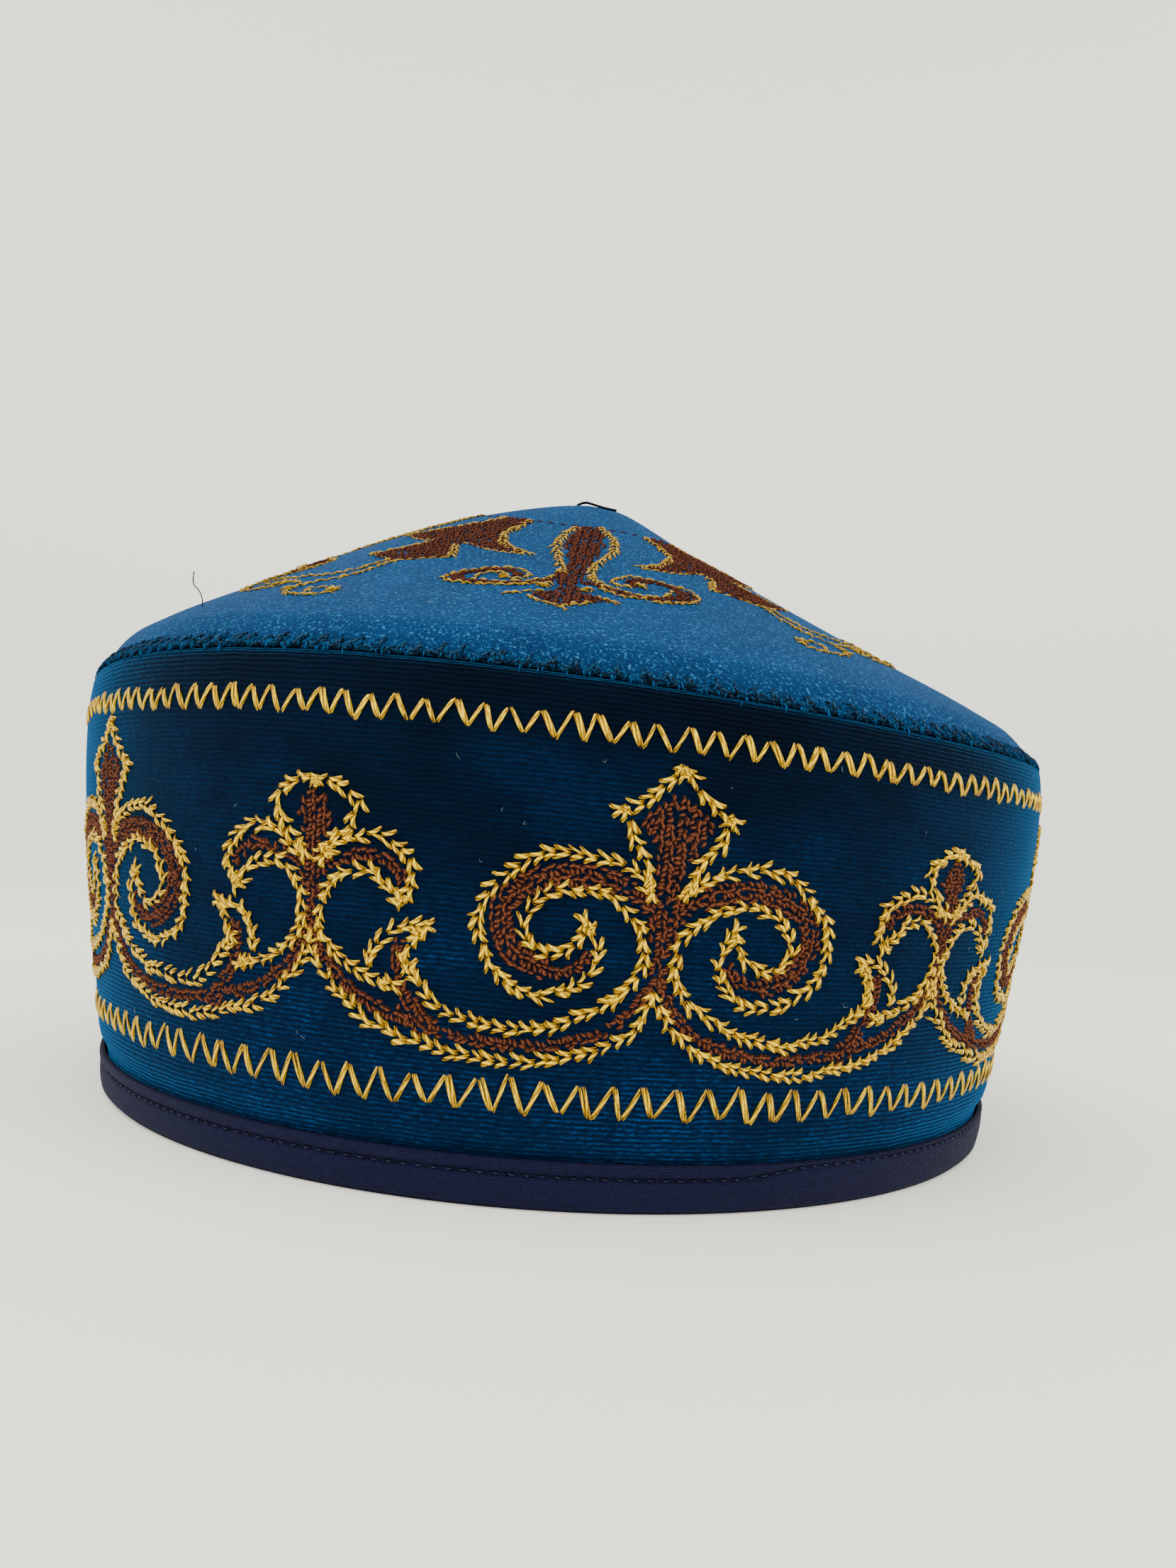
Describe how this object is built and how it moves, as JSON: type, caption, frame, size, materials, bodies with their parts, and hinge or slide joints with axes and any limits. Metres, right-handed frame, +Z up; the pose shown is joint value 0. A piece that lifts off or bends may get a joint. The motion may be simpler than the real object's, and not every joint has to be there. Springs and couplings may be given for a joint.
{
  "type": "embroidered skullcap",
  "caption": "Velvet skullcap with a stiff flared side band, a low conical crown and a bound hem, open below for the head.",
  "frame": {"origin": "centre of the hem, on the level it rests on", "axes": "+Z up through the crown, -Y towards the front of the cap, +X to the right seen from the front"},
  "size_m": [0.2062, 0.2062, 0.1326],
  "materials": {
    "crown_velvet": "blue cotton velvet, short pile, with gold and brown chain-stitch embroidery",
    "band_velvet": "dark blue velvet quilted in fine level ribs, with gold and brown chain-stitch embroidery",
    "binding_tape": "navy cotton twill tape"
  },
  "bodies": {
    "root": {"crown": "crown_velvet", "band": "band_velvet", "binding": "binding_tape"}
  },
  "joints": []
}
